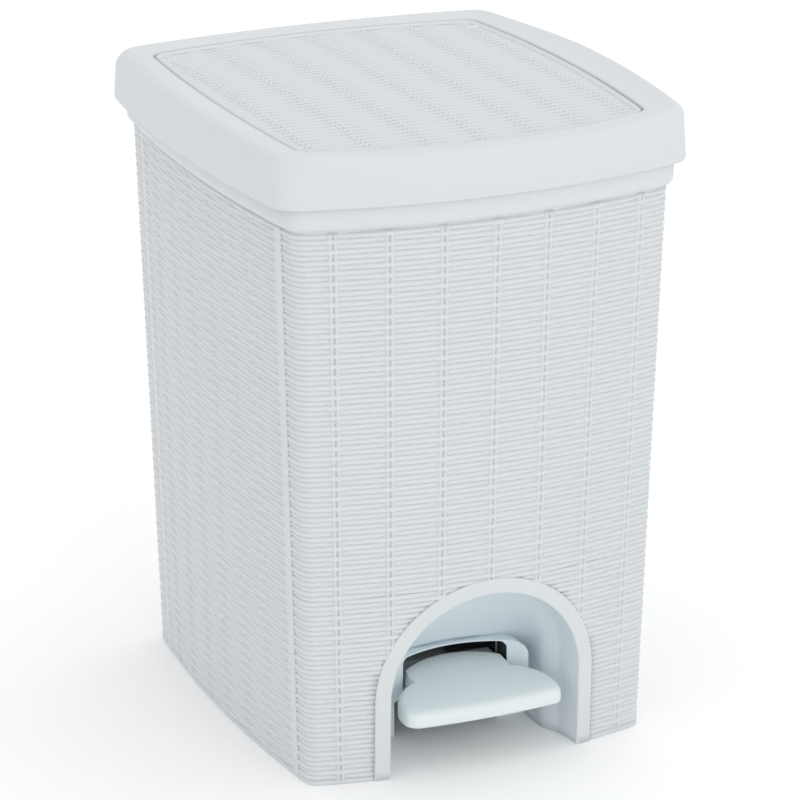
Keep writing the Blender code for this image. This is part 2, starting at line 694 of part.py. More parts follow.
def build_pedal_lever(look):
    pivot = (0, 0, PIVOT_Z)
    lever = place("pedal_lever", loft("pedal_lever", tread_rings()), look, origin=pivot, smooth=40)
    neck = [(-0.0760, 0.0250), (-0.0480, 0.0250), (-0.0480, 0.0312), (-0.0760, 0.0312)]
    combine(lever, tool("neck", side_plate("neck", neck, NECK_HALF_WIDTH)), "UNION")
    front_arm = [(-0.0560, 0.0256), (-0.0440, 0.0225), (-0.0200, 0.0225), (0, 0.0250)]
    front_arm += [(0, 0.0330), (-0.0200, 0.0282), (-0.0440, 0.0272), (-0.0560, 0.0300)]
    combine(lever, tool("front_arm", side_plate("front_arm", front_arm, 0.0080)), "UNION")
    combine(lever, tool("neck_pad", neck_pad("neck_pad")), "UNION")
    barrel = cylinder("barrel", (-BARREL_HALF, 0, PIVOT_Z), (BARREL_HALF, 0, PIVOT_Z), BARREL_RADIUS)
    combine(lever, tool("barrel", barrel), "UNION")
    pad = LEVER_PAD_Z
    end = ROD_Y + 0.0043
    arm = [(0, 0.0250), (0.0850, pad - 0.0060), (end, pad - 0.0050), (end, pad), (0.0850, pad), (0, 0.0350)]
    combine(lever, tool("rear_arm", side_plate("rear_arm", arm, 0.0080)), "UNION")
    hole = cylinder("lever_hole", (-0.0300, 0, PIVOT_Z), (0.0300, 0, PIVOT_Z), AXLE_RADIUS + GAP)
    combine(lever, tool("lever_hole", hole), "DIFFERENCE")
    return lever


def build_axle(steel):
    place("pedal_axle", cylinder("pedal_axle", (-0.0340, 0, PIVOT_Z), (0.0340, 0, PIVOT_Z), AXLE_RADIUS), steel,
          (0, 0, PIVOT_Z), 35)
    for name, side in (("left", -1), ("right", 1)):
        inner = LUG_INNER_X + LUG_THICKNESS + GAP
        hole = AXLE_RADIUS + GAP
        profile = [(hole, inner + 0.0012), (0.0054, inner + 0.0012), (0.0058, inner + 0.0008), (0.0058, inner)]
        profile += [(hole, inner), (hole, inner + 0.0012)]
        mesh = turned("axle_clip_" + name, profile, 20, axis="X")
        if side < 0:
            mesh.transform(Matrix.Rotation(math.pi, 4, "Z"))
        mesh.transform(Matrix.Translation((0, 0, PIVOT_Z)))
        place("axle_clip_" + name, mesh, steel, smooth=35)


def build_push_rod(steel):
    points = [(0, ROD_Y, 0.0300), (0, ROD_Y, ROD_BEND_Z), (0, ROD_HEAD_Y, ROD_BEND_Z)]
    points.append((0, ROD_HEAD_Y, ROD_HEAD_TOP_Z - 0.00525))
    path = rounded_path(points, 0.0050)
    place("push_rod", wire("push_rod", path, ROD_RADIUS), steel, smooth=40)


def build_rod_ends(look):
    hole = ROD_RADIUS + GAP
    low = LEVER_PAD_Z + GAP
    foot = [(0, 0.0296), (hole, 0.0296), (hole, 0.0340), (0.0036, 0.0340), (0.0042, 0.0334), (0.0042, low + 0.0030)]
    for angle in (25, 50, 70):
        turn = math.radians(angle)
        foot.append((0.0042 * math.cos(turn), low + 0.0030 * (1 - math.sin(turn))))
    foot.append((0, low))
    place("rod_foot", turned("rod_foot", foot, 20, (0, ROD_Y)), look, smooth=40)
    top = ROD_HEAD_TOP_Z
    head = [(0, top), (0.0043, top), (0.0050, top - 0.0006), (0.0050, top - 0.0018), (0.0036, top - 0.0034)]
    head += [(0.0036, top - 0.0133), (hole, top - 0.0133), (hole, top - 0.0049), (0, top - 0.0049)]
    place("rod_head", turned("rod_head", head, 20, (0, ROD_HEAD_Y)), look, smooth=40)


def build_rod_guides(look, steel):
    for name, height in GUIDE_HEIGHTS.items():
        front, back = ROD_Y - 0.0025, ROD_Y + 0.0032
        plate = box("rod_guide_" + name, (-0.0060, front, height), (0.0155, back, height + GUIDE_HEIGHT))
        guide = place("rod_guide_" + name, plate, look)
        bevel = guide.modifiers.new("soft_edges", "BEVEL")
        bevel.width = 0.0006
        bevel.segments = 2
        bore = cylinder("guide_bore", (0, ROD_Y, height - 0.01), (0, ROD_Y, height + 0.02), ROD_RADIUS + 0.0004)
        combine(guide, tool("guide_bore", bore), "DIFFERENCE")
        middle = height + GUIDE_HEIGHT / 2
        start, end = (SCREW_X, front - 0.0015, middle), (SCREW_X, back + 0.0015, middle)
        hole = cylinder("screw_hole", start, end, SCREW_HOLE_RADIUS)
        combine(guide, tool("screw_hole", hole), "DIFFERENCE")
        tip = body_half(height, 1) - 0.0024
        seat = front - GAP
        profile = [(0, tip), (0.0008, tip), (0.0014, tip - 0.0012), (0.0014, seat), (0.0028, seat)]
        profile += [(0.0028, seat - 0.0009), (0.0020, seat - 0.0016), (0, seat - 0.0016)]
        screw = turned("guide_screw_" + name, profile, 16, axis="Y")
        screw.transform(Matrix.Translation((SCREW_X, 0, middle)))
        place("guide_screw_" + name, screw, steel, smooth=35)


def main():
    white = material("white_plastic", (0.80, 0.83, 0.85), 0.42)
    pedal_white = material("pedal_plastic", (0.74, 0.80, 0.80), 0.40)
    bucket_grey = material("bucket_plastic", (0.62, 0.65, 0.68), 0.50)
    grip_white = material("grip_plastic", (0.82, 0.84, 0.85), 0.45)
    nylon = material("nylon", (0.78, 0.78, 0.74), 0.50)
    steel = material("zinc_steel", (0.62, 0.62, 0.63), 0.32, 1.0)
    build_outer_body(white)
    build_top_frame(white)
    build_lid_flap(white)
    build_hinge_pins(steel)
    build_inner_bucket(bucket_grey)
    build_bucket_handle(steel)
    build_handle_grip(grip_white)
    build_pedal_lever(pedal_white)
    build_axle(steel)
    build_push_rod(steel)
    build_rod_ends(nylon)
    build_rod_guides(nylon, steel)


clear_scene()
PARTS = collection("pedal_waste_bin")
CUTTERS = collection("cutters")
main()
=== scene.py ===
"""Looks of the pedal waste bin: moulded wicker relief, smooth cap, recessed pedal niche and the parts inside.

Metres, +Z up, the front faces -Y.  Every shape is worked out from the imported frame's driving dimensions.
"""
import json
import math

import bmesh
import bpy
import numpy as np
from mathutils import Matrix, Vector


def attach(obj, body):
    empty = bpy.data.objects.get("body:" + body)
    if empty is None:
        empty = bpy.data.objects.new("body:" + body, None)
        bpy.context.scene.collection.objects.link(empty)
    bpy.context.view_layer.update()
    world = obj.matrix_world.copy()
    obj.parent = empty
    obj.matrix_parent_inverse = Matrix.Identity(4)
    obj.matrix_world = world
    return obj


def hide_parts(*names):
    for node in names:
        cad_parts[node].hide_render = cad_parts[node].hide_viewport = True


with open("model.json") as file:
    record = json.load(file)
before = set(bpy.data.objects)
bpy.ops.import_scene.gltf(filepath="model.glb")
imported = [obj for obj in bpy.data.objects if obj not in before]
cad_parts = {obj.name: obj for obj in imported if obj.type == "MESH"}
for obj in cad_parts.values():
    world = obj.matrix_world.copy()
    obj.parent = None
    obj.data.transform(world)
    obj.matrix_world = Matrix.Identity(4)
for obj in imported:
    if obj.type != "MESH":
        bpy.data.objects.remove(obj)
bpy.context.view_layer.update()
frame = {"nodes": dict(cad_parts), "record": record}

# --- outer body, as in the CAD ---------------------------------------------------------------
WALL = 0.0024
SKIN = 0.0018
FLOOR_HALF = (0.0848, 0.0996)
WEAVE_TOP_HALF = (0.0922, 0.1066)
BAND_HALF = (0.0948, 0.1092)
WEAVE_TOP_Z = 0.2504
BAND_Z = 0.2544
BODY_TOP_Z = 0.2742
BOW_FRONT, BOW_BACK, BOW_SIDE = 0.300, 0.460, 0.720
CORNER_LOW, CORNER_HIGH, BAND_CORNER = 0.0060, 0.0085, 0.0105
DECK_SPLIT_Z = 0.0572

# --- moulded weave ---------------------------------------------------------------------------
STRANDS = 109
STRAND_PITCH = 0.002264
WEAVE_LOW_Z = 0.0021
STRAND_HALF = 0.00120
STRAND_ROUND = 0.00130
STRAND_DIP = 0.00062
RIB_DIP = 0.00028
RIB_REACH = 0.0024
VALLEY = -0.0017
ROD_OFFSET = 0.00113
ROD_HALF = 0.00072
ROD_ROUND = ROD_HALF * 1.2
ROD_CREST = 0.00006
RIB_BULGE = 0.00012
RIB_SPACING = 0.0238
RIB_COUNT_EACH_SIDE = 3
SIDE_RIB_SPACING = 0.0232
SIDE_RIB_SHIFT = 0.0041
STRIP_Y = (0.0755, 0.0820)
STRIP_LEVEL = -0.00020
STRIP_FLANK = 0.0006
HEM_DEPTHS = (-0.0012, -0.0003, -0.0006)
FRONT_SPLIT = 72
ROW_PHASES = (0.0, 0.06, 0.20, 0.40, 0.60, 0.80, 0.94)
RIB_COLUMNS = (0.00042, 0.00065, 0.00113, 0.0016, 0.00184, 0.0026, 0.0050)
CORNER_COLUMNS = 11

# --- niche -----------------------------------------------------------------------------------
NICHE_HALF_WIDTH = 0.0445
NICHE_APEX_Z = 0.0805
NICHE_MOUTH_Y = -0.0970
NICHE_REAR_Y = -0.0560
NICHE_REAR_HALF_WIDTH = 0.0384
NICHE_REAR_APEX_Z = 0.0413
NICHE_REAR_RISE = 0.0120
NICHE_LEG_DRAFT = 0.0021
NICHE_STRAIGHT = 0.0030
BAND_WIDTH = 0.0071
BAND_PROUD = 0.00025
SLOT_HALF_WIDTH = 0.0250
SLOT_TOP_Z = 0.0405
SLOT_CORNER = 0.0030
SLOT_FOOT_Z = -0.0100
SURROUND_HALF_WIDTH = 0.0330
SURROUND_Y = -0.0590
SURROUND_CURVE = 0.0514
SURROUND_HEIGHTS = (0.0225, 0.0362, 0.0411)

# --- cap and flap ----------------------------------------------------------------------------
CAP_TOP_HALF = (0.0998, 0.1119)
CAP_SKIRT_HALF = (0.1004, 0.1124)
CAP_TOP_CORNER = (0.0175, 0.0150)
CAP_SKIRT_CORNER = 0.0136
SKIRT_Z = 0.2606
CREST_Z = 0.2849
CREST_Y = -0.0100
CREST_DROP = 0.18
SHOULDER_RADIUS = (0.0042, 0.0080)
FLAP_TOP_Z = 0.2820
FLAP_TOP_Y = 0.0050
FLAP_DROP = 0.10
FLAP_HALF_WIDTH = 0.0828
FLAP_FRONT_Y = -0.0975
FLAP_BACK_Y = 0.0965
FLAP_CORNER = 0.0065
FLAP_BOWS = (0.215, 0.356, 0.800)
FLAP_SINK = 0.0004
FLAP_RIM = 0.0055
SEAM_GAP = 0.0009
FLANGE_DEPTH = 0.0090
FLANGE_THICKNESS = 0.0018
PANEL_SINK = 0.0007
PANEL_INSET = 0.0024
PANEL_FLOOR = 0.0031
HINGE_Y, HINGE_Z = 0.0785, 0.2776
HINGE_BOSS_X = (0.0703, 0.0783)
HINGE_BOSS_RADIUS = 0.0030
HINGE_BORE_RADIUS = 0.0018
LUG_HALF = (0.0030, 0.0023)
LUG_TIP_RADIUS = 0.0025
LUG_TIP = (0.0643, 0.2677)

# --- pedal -----------------------------------------------------------------------------------
TREAD_HALF_WIDTH = 0.0371
TREAD_FRONT_Y = -0.1017
TREAD_REAR_Y = -0.0715
TREAD_LOW_Z = 0.0228
TREAD_TOP_Z = 0.0352
TREAD_FALL = 0.0059
TREAD_CORNERS = (0.0060, 0.0190)
TREAD_BOWS = (0.290, 0.400, 0.600)
NECK_HALF_WIDTH = 0.0237
NECK_CREST_Y = -0.0544
NECK_CREST_CURVE = 0.0365
NECK_END_Y = -0.0480
NECK_FRONT_Y = -0.0780
NECK_HEIGHTS = (0.0250, 0.0312)
PAD_FRONT_Y = -0.0880
PAD_SINK = 0.00004

FINE_STEPS = (20, 10, 24)
LIGHTS = (("key", (0.15, -2.0, 0.85), 1.2, 6), ("top", (0.6, 0.2, 2.0), 1.0, 3))


# --- plan outlines, rings and lofts ----------------------------------------------------------
def arc(centre, radius, start, end, steps):
    """Points along an arc, both ends included."""
    angles = [start + (end - start) * step / steps for step in range(steps + 1)]
    return [centre + Vector((math.cos(angle), math.sin(angle))) * radius for angle in angles]


def meeting_point(first, first_radius, second, second_radius, side):
    """Where two circles meet: side is -1 for the point nearest the front, 1 for the back."""
    between = second - first
    along = (first_radius ** 2 - second_radius ** 2 + between.length_squared) / (2 * between.length)
    across = math.sqrt(first_radius ** 2 - along ** 2)
    unit = between.normalized()
    foot = first + unit * along
    choices = [foot + Vector((-unit.y, unit.x)) * across, foot - Vector((-unit.y, unit.x)) * across]
    return max(choices, key=lambda point: point.y * side)


def plan(half_width, front, back, corner, bows=None):
    """The five arcs of the right half of an outline, front to back: (centre, radius, start, end)."""
    bow_front, bow_back, bow_side = bows or (BOW_FRONT, BOW_BACK, BOW_SIDE)
    front_corner, back_corner = corner if isinstance(corner, tuple) else (corner, corner)
    front_centre = Vector((0, front + bow_front))
    back_centre = Vector((0, back - bow_back))
    side_centre = Vector((half_width - bow_side, (front + back) / 2))
    low = meeting_point(front_centre, bow_front - front_corner, side_centre, bow_side - front_corner, -1)
    high = meeting_point(back_centre, bow_back - back_corner, side_centre, bow_side - back_corner, 1)

    def heading(centre, point):
        return math.atan2(point.y - centre.y, point.x - centre.x)

    turns = [-math.pi / 2, heading(front_centre, low), heading(side_centre, low)]
    turns += [heading(side_centre, high), heading(back_centre, high), math.pi / 2]
    centres = [front_centre, low, side_centre, high, back_centre]
    radii = [bow_front, front_corner, bow_side, back_corner, bow_back]
    return [(centres[i], radii[i], turns[i], turns[i + 1]) for i in range(5)]


def outline(half_width, front, back, corner, bows=None, steps=FINE_STEPS):
    """A rectangle with bowed sides and round corners, counter-clockwise from the front's middle."""
    counts = (steps[0], steps[1], steps[2], steps[1], steps[0])
    arcs = plan(half_width, front, back, corner, bows)
    right = []
    for (centre, radius, start, end), count in zip(arcs, counts):
        right += arc(centre, radius, start, end, count)[:-1]
    right.append(Vector((0, back)))
    left = [Vector((-point.x, point.y)) for point in reversed(right[1:-1])]
    return right + left


def offset(points, distance):
    """The outline moved outwards by a number or a function of the point; inwards when negative."""
    count = len(points)
    moved = []
    for index, point in enumerate(points):
        along = points[(index + 1) % count] - points[index - 1]
        step = distance(point) if callable(distance) else distance
        moved.append(point + Vector((along.y, -along.x)).normalized() * step)
    return moved


def mix(first, second, share):
    """The outline a share of the way from the first to the second."""
    return [a.lerp(b, share) for a, b in zip(first, second)]


def eased(value):
    """0 below 0, 1 above 1, with a smooth rise between."""
    share = min(max(value, 0.0), 1.0)
    return share * share * (3 - 2 * share)


def ring(points, height):
    """The outline at a height, which is a number or a function of the point."""
    return [Vector((*point, height(point) if callable(height) else height)) for point in points]


def loft(rings, closed=False, caps=True):
    """A bmesh of rings of equal length joined by faces; the last ring can meet the first."""
    shape = bmesh.new()
    rows = [[shape.verts.new(point) for point in points] for points in rings]
    pairs = list(zip(rows, rows[1:]))
    if closed:
        pairs.append((rows[-1], rows[0]))
    for lower, upper in pairs:
        for index in range(len(lower)):
            following = (index + 1) % len(lower)
            shape.faces.new((lower[index], lower[following], upper[following], upper[index]))
    if caps and not closed:
        shape.faces.new(rows[0])
        shape.faces.new(rows[-1])
    bmesh.ops.recalc_face_normals(shape, faces=shape.faces)
    return shape


def piece(name, shape, look, body, smooth=35):
    """A finished mesh object from a bmesh or a mesh, riding on a body."""
    if isinstance(shape, bmesh.types.BMesh):
        mesh = bpy.data.meshes.new(name)
        shape.to_mesh(mesh)
        shape.free()
    else:
        mesh = shape
    mesh.materials.clear()
    mesh.materials.append(look)
    mesh.shade_smooth()
    if smooth:
        mesh.set_sharp_from_angle(angle=math.radians(smooth))
    item = bpy.data.objects.new(name, mesh)
    bpy.context.scene.collection.objects.link(item)
    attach(item, body)
    return item


def applied(item):
    """Replaces the object's mesh by its evaluated one, with its modifiers gone."""
    graph = bpy.context.evaluated_depsgraph_get()
    mesh = bpy.data.meshes.new_from_object(item.evaluated_get(graph))
    item.modifiers.clear()
    item.data = mesh
    return item


def cut(item, shape, operation="DIFFERENCE"):
    """Applies one boolean with a throwaway shape."""
    mesh = bpy.data.meshes.new("cutter")
    shape.to_mesh(mesh)
    shape.free()
    other = bpy.data.objects.new("cutter", mesh)
    bpy.context.scene.collection.objects.link(other)
    step = item.modifiers.new("cut", "BOOLEAN")
    step.operation = operation
    step.object = other
    step.solver = "EXACT"
    bpy.context.view_layer.update()
    applied(item)
    bpy.data.objects.remove(other, do_unlink=True)
    bpy.data.meshes.remove(mesh)
    return item


def soften(item, width, segments=2, angle=30):
    """Rounds the edges sharper than an angle."""
    step = item.modifiers.new("soft_edges", "BEVEL")
    step.width = width
    step.segments = segments
    step.limit_method = "ANGLE"
    step.angle_limit = math.radians(angle)
    step.harden_normals = False
    return applied(item)


# --- body walls ------------------------------------------------------------------------------
def wall_share(height):
    """0 at the floor and 1 at the weave's top edge, over which the walls widen."""
    return min(max(height / WEAVE_TOP_Z, 0.0), 1.0)


def wall_half(height, axis):
    """Half the body's width (axis 0) or depth (axis 1) at a height."""
    return FLOOR_HALF[axis] + (WEAVE_TOP_HALF[axis] - FLOOR_HALF[axis]) * wall_share(height)


def wall_corner(height):
    """The radius of the body's upright corners at a height."""
    return CORNER_LOW + (CORNER_HIGH - CORNER_LOW) * wall_share(height)


def wall_plan(height):
    """The arcs of the wall's right half at a height."""
    depth = wall_half(height, 1)
    return plan(wall_half(height, 0), -depth, depth, wall_corner(height))


def body_outline(height):
    """The wall's outer outline at a height."""
    depth = wall_half(height, 1)
    return outline(wall_half(height, 0), -depth, depth, wall_corner(height))


TOP_PLAN = wall_plan(WEAVE_TOP_Z)
ARC_LENGTHS = [radius * (end - start) for _, radius, start, end in TOP_PLAN]
ARC_STARTS = np.concatenate([[0], np.cumsum(ARC_LENGTHS)])
PERIMETER_HALF = float(ARC_STARTS[5])


def side_place(y):
    """Distance along the wall's top, from the front's middle, of a point on the side wall."""
    centre, radius, start, _ = TOP_PLAN[2]
    return ARC_STARTS[2] + radius * (math.asin((y - centre.y) / radius) - start)


def wall_points(height, places):
    """Points and outward directions on the wall for distances along its top edge, scaled to a height."""
    around = (places + PERIMETER_HALF) % (2 * PERIMETER_HALF) - PERIMETER_HALF
    away = np.abs(around)
    index = np.clip(np.searchsorted(ARC_STARTS, away, side="right") - 1, 0, 4)
    arcs = wall_plan(height)
    centre = np.array([[item[0].x, item[0].y] for item in arcs])[index]
    radius = np.array([item[1] for item in arcs])[index]
    start = np.array([item[2] for item in arcs])[index]
    end = np.array([item[3] for item in arcs])[index]
    share = (away - ARC_STARTS[index]) / np.array(ARC_LENGTHS)[index]
    angle = start + (end - start) * share
    outward = np.stack([np.cos(angle), np.sin(angle)], 1)
    points = centre + outward * radius[:, None]
    mirror = np.where(around < 0, -1.0, 1.0)
    points[:, 0] *= mirror
    outward[:, 0] *= mirror
    return points, outward


# --- moulded weave ---------------------------------------------------------------------------
def weave_height(rib_phase, rib_distance, down, count=STRANDS):
    """Relief of the strands at a distance down from the weave's first edge; rib_phase counts ribs."""
    sway = np.cos(np.pi * rib_phase)
    near_rib = np.clip(1 - (rib_distance / RIB_REACH) ** 4, 0, 1)
    strand = math.floor(down / STRAND_PITCH)
    level = np.full_like(rib_phase, VALLEY)
    for number in (strand - 1, strand, strand + 1):
        if number < 0 or number >= count:
            continue
        across = abs(down - (number + 0.5) * STRAND_PITCH) / STRAND_HALF
        if across >= 1:
            continue
        side = 1 if number % 2 == 0 else -1
        sunk = (1 - side * sway) / 2
        crest = RIB_BULGE * near_rib * (1 - sunk) - sunk * (STRAND_DIP + RIB_DIP * near_rib * sunk)
        level = np.maximum(level, crest - STRAND_ROUND * (1 - math.sqrt(1 - across ** 2)))
    inside = np.clip(1 - ((rib_distance - ROD_OFFSET) / ROD_HALF) ** 2, 0, 1)
    rod = np.where(inside > 0, ROD_CREST - ROD_ROUND * (1 - np.sqrt(inside)), VALLEY)
    return np.maximum(level, rod)


def weave_zone(ribs, low, high, corners=()):
    """Columns of a woven zone between two edges, with each column's rib phase and rib distance."""
    columns = {low, high, low + 0.0008, high - 0.0008, *corners}
    for rib in ribs:
        columns.add(rib)
        for step in RIB_COLUMNS:
            columns.update((rib - step, rib + step))
    for before, after in zip([low, *ribs], [*ribs, high]):
        columns.add((before + after) / 2)
    places = np.array(sorted(column for column in columns if low <= column <= high))
    marks = [low, *ribs, high]
    phase = np.interp(places, marks, np.arange(len(marks)))
    distance = np.min([np.abs(places - rib) for rib in ribs], axis=0)
    return places, phase, distance


FRONT_RIBS = [RIB_SPACING * k for k in range(-RIB_COUNT_EACH_SIDE, RIB_COUNT_EACH_SIDE + 1)]
STRIP_FRONT = (side_place(-STRIP_Y[1]), side_place(-STRIP_Y[0]))
STRIP_BACK = (side_place(STRIP_Y[0]), side_place(STRIP_Y[1]))


def zone_columns(kind):
    """Column places of a panel, and a function that gives their relief at a height."""
    if kind in ("front", "back"):
        edge = STRIP_FRONT[0] if kind == "front" else PERIMETER_HALF - STRIP_BACK[1]
        turn = ARC_STARTS[1:3] if kind == "front" else PERIMETER_HALF - ARC_STARTS[3:5]
        corner = np.linspace(turn[0], turn[1], CORNER_COLUMNS)
        places, phase, distance = weave_zone(FRONT_RIBS, -edge, edge, [*corner, *-corner])
        if kind == "back":
            places = places + PERIMETER_HALF
        return places, lambda down: weave_height(phase, distance, down)
    ribs = [side_place(SIDE_RIB_SHIFT + SIDE_RIB_SPACING * (k + 0.5)) for k in range(-3, 3)]
    places, phase, distance = weave_zone(ribs, STRIP_FRONT[1], STRIP_BACK[0])
    phase = phase + 1
    front_strip = [STRIP_FRONT[0], STRIP_FRONT[0] + STRIP_FLANK, STRIP_FRONT[1] - STRIP_FLANK]
    back_strip = [STRIP_BACK[0] + STRIP_FLANK, STRIP_BACK[1] - STRIP_FLANK, STRIP_BACK[1]]
    levels = np.array([STRIP_LEVEL - 0.0002, STRIP_LEVEL, STRIP_LEVEL])

    def relief(down):
        return np.concatenate([levels, weave_height(phase, distance, down), levels[::-1]])

    return np.concatenate([front_strip, places, back_strip]), relief


def panel_rows(low, high):
    """Heights of a panel's rows between two strand numbers counted from the top, downwards."""
    downs = [(strand + phase) * STRAND_PITCH for strand in range(low, high) for phase in ROW_PHASES]
    downs.append(high * STRAND_PITCH)
    if high == STRANDS:
        downs += [high * STRAND_PITCH + 0.0004, high * STRAND_PITCH + WEAVE_LOW_Z - 0.0003]
        downs.append(high * STRAND_PITCH + WEAVE_LOW_Z)
    if low == 0:
        downs.insert(0, -0.0005)
    return downs


def slab(name, face, far, near):
    """A closed mesh from a grid of relief points and the two edge rows of its plain back."""
    rows, columns = len(face), len(face[0])
    grid = np.arange(rows * columns).reshape(rows, columns)
    quads = np.stack([grid[:-1, :-1], grid[1:, :-1], grid[1:, 1:], grid[:-1, 1:]], -1)
    first = rows * columns + np.arange(columns)
    last = first + columns
    back = np.stack([first[1:], last[1:], last[:-1], first[:-1]], -1)
    first_edge = np.stack([first[:-1], grid[0, :-1], grid[0, 1:], first[1:]], -1)
    last_edge = np.stack([grid[-1, :-1], last[:-1], last[1:], grid[-1, 1:]], -1)
    faces = np.concatenate([quads.reshape(-1, 4), back, first_edge, last_edge]).tolist()
    faces.append([int(first[0]), int(last[0])] + grid[::-1, 0].tolist())
    faces.append(grid[:, -1].tolist() + [int(last[-1]), int(first[-1])])
    mesh = bpy.data.meshes.new(name)
    mesh.from_pydata(np.concatenate([*face, far, near]).tolist(), [], faces)
    mesh.update()
    return mesh


def woven_panel(name, kind, look, low=0, high=STRANDS):
    """One wall's woven skin as a closed slab: fine relief outside, plain inside."""
    places, relief = zone_columns(kind)
    if kind == "left":
        places = -places[::-1]
    weave_depth = STRANDS * STRAND_PITCH
    weave_top = WEAVE_LOW_Z + weave_depth
    under_band, hem, foot = HEM_DEPTHS

    def relief_at(down):
        if down < 0:
            return np.full_like(places, under_band)
        if down > weave_depth + 0.0001:
            return np.full_like(places, hem if weave_top - down > 0.0002 else foot)
        depth = relief(min(down, weave_depth - 0.00001))
        return depth[::-1] if kind == "left" else depth

    def wall_row(down, depth):
        z = weave_top - down
        points, outward = wall_points(z, places)
        return np.column_stack([points + outward * depth[:, None], np.full(len(places), z)])

    downs = panel_rows(low, high)
    outer = [wall_row(down, relief_at(down)) for down in downs]
    inner = [wall_row(down, np.full_like(places, -SKIN)) for down in (downs[0], downs[-1])]
    return piece(name, slab(name, outer, *inner), look, "body", smooth=None)


# --- niche -----------------------------------------------------------------------------------
def niche_values(depth, grow):
    """The niche arch's half width, apex and rise at a share of its depth, grown by a distance."""
    narrowing = NICHE_LEG_DRAFT * min(depth / 0.4, 1.0)
    turned_in = NICHE_HALF_WIDTH - NICHE_LEG_DRAFT - NICHE_REAR_HALF_WIDTH
    narrowing += turned_in * eased((depth - 0.28) / 0.32)
    half_width = NICHE_HALF_WIDTH - narrowing + grow
    drop = NICHE_APEX_Z - NICHE_REAR_APEX_Z
    apex = NICHE_REAR_APEX_Z + drop * math.cos(depth * math.pi / 2) + grow
    rise = NICHE_HALF_WIDTH + (NICHE_REAR_RISE - NICHE_HALF_WIDTH) * depth + grow
    return half_width, apex, rise


def arch(half_width, apex, rise, leg_steps=8, arc_steps=56, low=0.0):
    """An arch's (x, z) points from the right foot, over the top, to the left foot."""
    spring = apex - rise
    leg = [low + (spring - low) * step / leg_steps for step in range(leg_steps)]
    points = [(half_width, z) for z in leg]
    for step in range(arc_steps + 1):
        angle = math.pi * step / arc_steps
        points.append((half_width * math.cos(angle), spring + rise * math.sin(angle)))
    return points + [(-half_width, z) for z in reversed(leg)]


def front_wall_y(x, z):
    """The front wall's surface over the niche."""
    return -wall_half(z, 1) + BOW_FRONT - math.sqrt(BOW_FRONT ** 2 - x * x)


def open_sheet(rows):
    """A bmesh grid over rows of points, as an open sheet."""
    shape = bmesh.new()
    verts = [[shape.verts.new(point) for point in row] for row in rows]
    for lower, upper in zip(verts, verts[1:]):
        for index in range(len(lower) - 1):
            shape.faces.new((lower[index], lower[index + 1], upper[index + 1], upper[index]))
    return shape


def build_niche(look, niche_painted_light_look):
    """The niche's shell: a flat band on the front wall, a round lip, and a vault that runs back and down; its
    inner faces take a lighter white, painted light against the niche's shade.
    """
    rows = []

    def on_wall(grow, proud):
        points = arch(NICHE_HALF_WIDTH + grow, NICHE_APEX_Z + grow, NICHE_HALF_WIDTH + grow)
        return [Vector((x, front_wall_y(x, z) - proud, z)) for x, z in points]

    edge, skirt, lip = 0.0006, 0.0012, 0.0009
    for turn in (90, 60, 30, 0):
        angle = math.radians(turn)
        grow = BAND_WIDTH - edge + edge * math.sin(angle)
        proud = BAND_PROUD - edge + edge * math.cos(angle)
        rows.append(on_wall(grow, proud - skirt if turn == 90 else proud))
    for share in (0.66, 0.33):
        rows.append(on_wall(lip + (BAND_WIDTH - edge - lip) * share, BAND_PROUD))
    for turn in (0, 18, 36, 54, 72, 90):
        angle = math.radians(turn)
        rows.append(on_wall(lip * (1 - math.sin(angle)), BAND_PROUD - lip * (1 - math.cos(angle))))
    mouth = rows[-1]
    vault_y = NICHE_MOUTH_Y + NICHE_STRAIGHT
    first = [Vector((x, vault_y, z)) for x, z in arch(*niche_values(0, 0))]
    rows.append(mix(mouth, first, 0.5))
    rows.append(first)
    steps = 30
    for step in range(1, steps + 1):
        depth = step / steps
        y = vault_y + (NICHE_REAR_Y - vault_y) * depth
        rows.append([Vector((x, y, z)) for x, z in arch(*niche_values(depth, 0))])
    niche = piece("niche_shell", open_sheet(rows), look, "body", smooth=50)
    thick = niche.modifiers.new("thickness", "SOLIDIFY")
    thick.thickness = SKIN
    thick.offset = -1.0
    applied(niche)
    # the faces inside the niche take the lighter white: painted light against the niche's shade
    niche.data.materials.append(niche_painted_light_look)
    for face in niche.data.polygons:
        if face.center.y > front_wall_y(face.center.x, face.center.z) + 0.0010:
            face.material_index = 1


def flat_plate(points, low_y, high_y):
    """A bmesh plate from an (x, z) outline between two depths."""
    shape = bmesh.new()
    front = [shape.verts.new((x, low_y, z)) for x, z in points]
    rear = [shape.verts.new((x, high_y, z)) for x, z in points]
    count = len(points)
    shape.faces.new(front)
    shape.faces.new(list(reversed(rear)))
    for index in range(count):
        following = (index + 1) % count
        shape.faces.new((front[following], front[index], rear[index], rear[following]))
    bmesh.ops.recalc_face_normals(shape, faces=shape.faces)
    return shape


def slot_outline():
    """The slot's edge from the left foot over its round corners to the right foot."""
    x, z = SLOT_HALF_WIDTH - SLOT_CORNER, SLOT_TOP_Z - SLOT_CORNER
    edge = [Vector((-SLOT_HALF_WIDTH, SLOT_FOOT_Z))]
    edge += arc(Vector((-x, z)), SLOT_CORNER, math.pi, math.pi / 2, 6)
    edge += arc(Vector((x, z)), SLOT_CORNER, math.pi / 2, 0.0, 6)
    edge.append(Vector((SLOT_HALF_WIDTH, SLOT_FOOT_Z)))
    return [(point.x, point.y) for point in edge]


